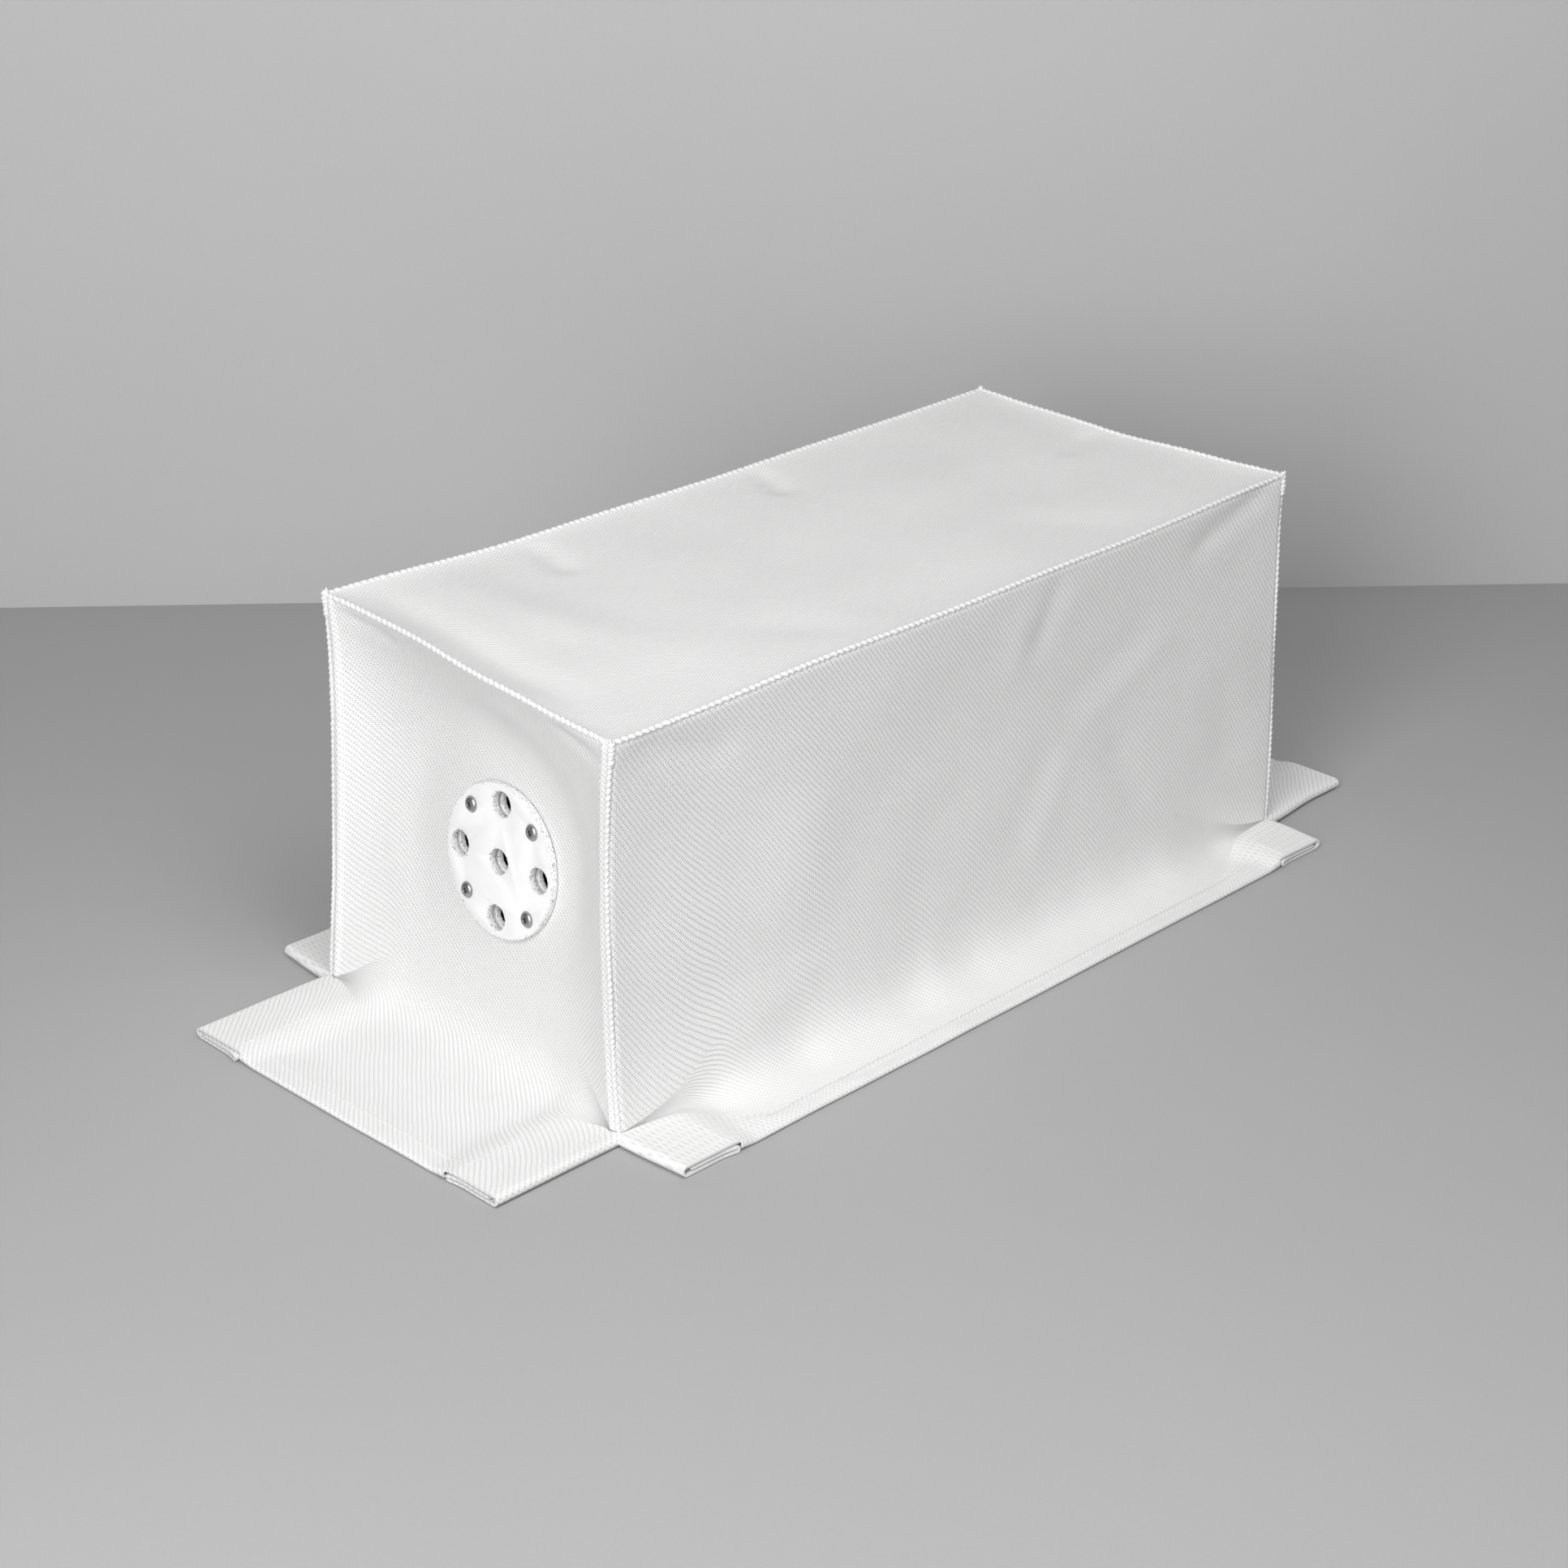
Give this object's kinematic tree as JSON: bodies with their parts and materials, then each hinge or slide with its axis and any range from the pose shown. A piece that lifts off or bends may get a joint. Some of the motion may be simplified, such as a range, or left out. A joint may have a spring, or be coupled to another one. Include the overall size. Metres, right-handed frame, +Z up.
{
  "type": "fire-resistant cloth hood",
  "caption": "Box-shaped white glass-cloth fire hood, open below, with hemmed floor flaps on all sides and a round perforated vent plate riveted into one end wall.",
  "frame": {"origin": "on the floor, at the centre of the hood's footprint", "axes": "+X along the hood's length, away from the vent end; +Y across it, towards the back side; +Z up"},
  "size_m": [0.662, 0.312, 0.216],
  "materials": {
    "glass_cloth": "matt white woven glass cloth with a faint sheen",
    "sewing_thread": "matt white sewing thread",
    "vent_board": "matt white board with dark grey flecked cut edges",
    "rivet_aluminium": "satin, slightly dulled",
    "mandrel_steel": "dull steel"
  },
  "bodies": {
    "hood": {"back_side_panel": "glass_cloth", "back_side_top_seam": "glass_cloth", "backing_plate": "vent_board", "front_side_panel": "glass_cloth", "front_side_top_seam": "glass_cloth", "plain_back_bartack": "sewing_thread", "plain_back_corner_seam": "glass_cloth", "plain_back_topstitch": "sewing_thread", "plain_end_panel": "glass_cloth", "plain_end_top_seam": "glass_cloth", "plain_front_bartack": "sewing_thread", "plain_front_corner_seam": "glass_cloth", "plain_front_topstitch": "sewing_thread", "rivet_mandrel_1": "mandrel_steel", "rivet_mandrel_2": "mandrel_steel", "rivet_mandrel_3": "mandrel_steel", "rivet_mandrel_4": "mandrel_steel", "rivet_washer_1": "rivet_aluminium", "rivet_washer_2": "rivet_aluminium", "rivet_washer_3": "rivet_aluminium", "rivet_washer_4": "rivet_aluminium", "top_panel": "glass_cloth", "vent_back_bartack": "sewing_thread", "vent_back_corner_seam": "glass_cloth", "vent_back_topstitch": "sewing_thread", "vent_end_panel": "glass_cloth", "vent_end_top_seam": "glass_cloth", "vent_front_bartack": "sewing_thread", "vent_front_corner_seam": "glass_cloth", "vent_front_topstitch": "sewing_thread", "vent_plate": "vent_board", "vent_rivet_1": "rivet_aluminium", "vent_rivet_2": "rivet_aluminium", "vent_rivet_3": "rivet_aluminium", "vent_rivet_4": "rivet_aluminium"},
    "vent_end_flap": {"vent_end_flap": "glass_cloth", "vent_end_left_hem_thread": "sewing_thread", "vent_end_right_hem_thread": "sewing_thread", "vent_end_outer_hem_thread": "sewing_thread"},
    "plain_end_flap": {"plain_end_flap": "glass_cloth", "plain_end_left_hem_thread": "sewing_thread", "plain_end_right_hem_thread": "sewing_thread", "plain_end_outer_hem_thread": "sewing_thread"},
    "front_side_flap": {"front_side_flap": "glass_cloth", "front_side_left_hem_thread": "sewing_thread", "front_side_right_hem_thread": "sewing_thread", "front_side_outer_hem_thread": "sewing_thread"},
    "back_side_flap": {"back_side_flap": "glass_cloth", "back_side_left_hem_thread": "sewing_thread", "back_side_right_hem_thread": "sewing_thread", "back_side_outer_hem_thread": "sewing_thread"}
  },
  "joints": [
    {"name": "vent_end_flap_fold", "type": "hinge", "parent": "hood", "child": "vent_end_flap", "pos_m": [-0.2612, 0, 0.00075], "axis": [0, 1, 0], "range_deg": [-90, 90]},
    {"name": "plain_end_flap_fold", "type": "hinge", "parent": "hood", "child": "plain_end_flap", "pos_m": [0.2612, 0, 0.00075], "axis": [0, -1, 0], "range_deg": [-90, 90]},
    {"name": "front_side_flap_fold", "type": "hinge", "parent": "hood", "child": "front_side_flap", "pos_m": [0, -0.1262, 0.00075], "axis": [-1, 0, 0], "range_deg": [-90, 90]},
    {"name": "back_side_flap_fold", "type": "hinge", "parent": "hood", "child": "back_side_flap", "pos_m": [0, 0.1262, 0.00075], "axis": [1, 0, 0], "range_deg": [-90, 90]}
  ]
}
